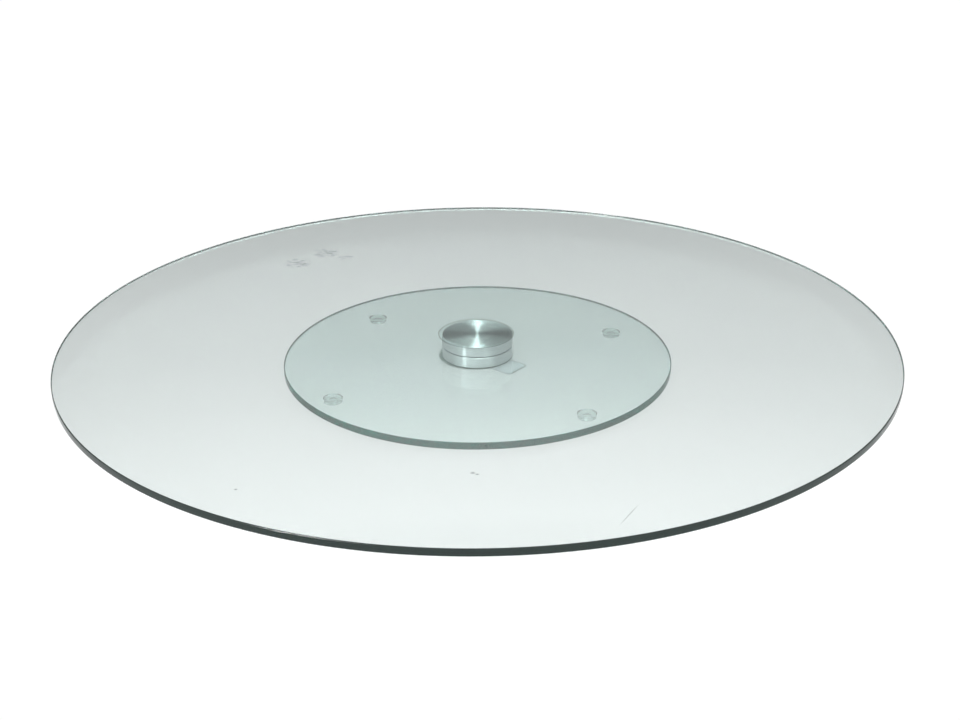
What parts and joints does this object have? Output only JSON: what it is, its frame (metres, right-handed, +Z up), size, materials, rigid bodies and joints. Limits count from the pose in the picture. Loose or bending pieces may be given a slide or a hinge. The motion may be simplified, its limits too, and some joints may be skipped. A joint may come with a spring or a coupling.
{
  "type": "turntable display stand",
  "caption": "Low turntable stand: a large round clear glass plate turns on a turned aluminium swivel hub over a smaller round glass base with clear bumper feet.",
  "frame": {"origin": "on the swivel axis, at the level of the table that the feet stand on", "axes": "+Z up along the swivel axis; +X to the right and -Y towards the viewer"},
  "size_m": [0.6999, 0.7, 0.0358],
  "materials": {
    "plate_glass": "clear float glass with polished edges",
    "base_glass": "clear float glass with polished edges, a little greener",
    "turned_aluminium": "face-turned and polished",
    "bearing_steel": "ground and hardened",
    "ball_steel": "polished",
    "cage_nylon": "moulded nylon",
    "bush_bronze": "sintered bronze",
    "nylon": "stamped nylon sheet",
    "screw_steel": "zinc plated",
    "spring_steel": "oiled spring steel",
    "foot_polyurethane": "clear moulded polyurethane",
    "clear_film": "clear cured adhesive",
    "label_film": "clear polyester label, blank"
  },
  "bodies": {
    "base": {"base_glass": "base_glass", "base_film": "clear_film", "lower_flange": "turned_aluminium", "lower_race": "bearing_steel", "pivot_bush": "bush_bronze", "wear_washer": "nylon", "clear_label": "label_film", "foot_1": "foot_polyurethane", "foot_2": "foot_polyurethane", "foot_3": "foot_polyurethane", "foot_4": "foot_polyurethane", "foot_film_1": "clear_film", "foot_film_2": "clear_film", "foot_film_3": "clear_film", "foot_film_4": "clear_film"},
    "top": {"plate_glass": "plate_glass", "plate_film": "clear_film", "upper_flange": "turned_aluminium", "upper_race": "bearing_steel", "pivot_screw": "screw_steel", "spring_washer": "spring_steel", "steel_washer": "screw_steel"},
    "cage": {"ball_cage": "cage_nylon", "ball_1": "ball_steel", "ball_2": "ball_steel", "ball_3": "ball_steel", "ball_4": "ball_steel", "ball_5": "ball_steel", "ball_6": "ball_steel", "ball_7": "ball_steel", "ball_8": "ball_steel", "ball_9": "ball_steel", "ball_10": "ball_steel", "ball_11": "ball_steel", "ball_12": "ball_steel", "ball_13": "ball_steel", "ball_14": "ball_steel", "ball_15": "ball_steel", "ball_16": "ball_steel"}
  },
  "joints": [
    {"name": "top_spin", "type": "hinge", "parent": "base", "child": "top", "pos_m": [0, 0, 0.0204], "axis": [0, 0, 1], "continuous": true},
    {"name": "cage_spin", "type": "hinge", "parent": "base", "child": "cage", "pos_m": [0, 0, 0.02], "axis": [0, 0, 1], "continuous": true}
  ],
  "couplings": [
    {"joint": "cage_spin", "follows": "top_spin", "ratio": 0.5}
  ]
}
